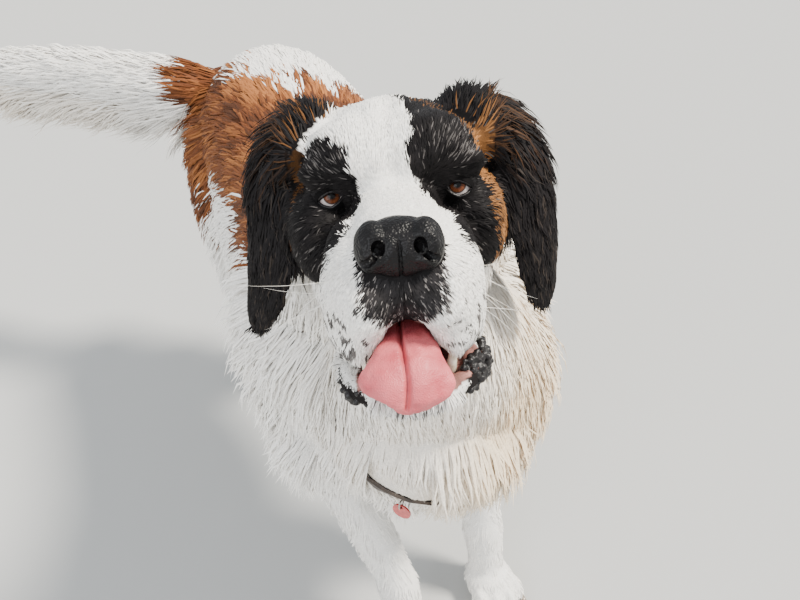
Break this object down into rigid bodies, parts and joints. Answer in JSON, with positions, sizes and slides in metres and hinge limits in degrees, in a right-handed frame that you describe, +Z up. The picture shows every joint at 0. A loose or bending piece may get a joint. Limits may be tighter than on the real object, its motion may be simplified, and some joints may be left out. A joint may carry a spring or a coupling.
{
  "type": "dog figure",
  "caption": "Still life-size long-coated Saint Bernard dog, standing with its head raised, mouth open and tail held level, in a loose leather collar.",
  "frame": {"origin": "centre of the bounding box in plan, at the level of the soles", "axes": "+Z up, the dog faces -Y with its head turned a little to -X, and its own left side is towards +X"},
  "size_m": [0.7178, 1.4174, 0.9629],
  "materials": {
    "brown_coat": "dense long mahogany brown fur, marked with white in the render",
    "dark_coat": "short soft black-brown fur",
    "eye": "glossy brown eye",
    "leather": "worn dark brown collar leather",
    "metal": "worn steel ring and buckle",
    "nose": "moist pebbled black nose leather",
    "tag": "small red enamelled tag",
    "tongue": "wet pink tongue",
    "white_coat": "dense long white to cream fur"
  },
  "bodies": {
    "root": {"collar": "leather", "ear_left": "dark_coat", "ear_right": "dark_coat", "eye_left": "eye", "eye_right": "eye", "foreleg_left": "white_coat", "foreleg_right": "white_coat", "forepaw_left": "white_coat", "forepaw_right": "white_coat", "head": "white_coat", "hindpaw_left": "white_coat", "hindpaw_right": "white_coat", "hock_left": "white_coat", "hock_right": "white_coat", "lower_jaw": "white_coat", "neck": "white_coat", "nose": "nose", "tag": "tag", "tag_ring": "metal", "tail_base": "brown_coat", "tail_plume": "white_coat", "thigh_left": "brown_coat", "thigh_right": "brown_coat", "tongue": "tongue", "torso": "brown_coat"}
  },
  "joints": []
}
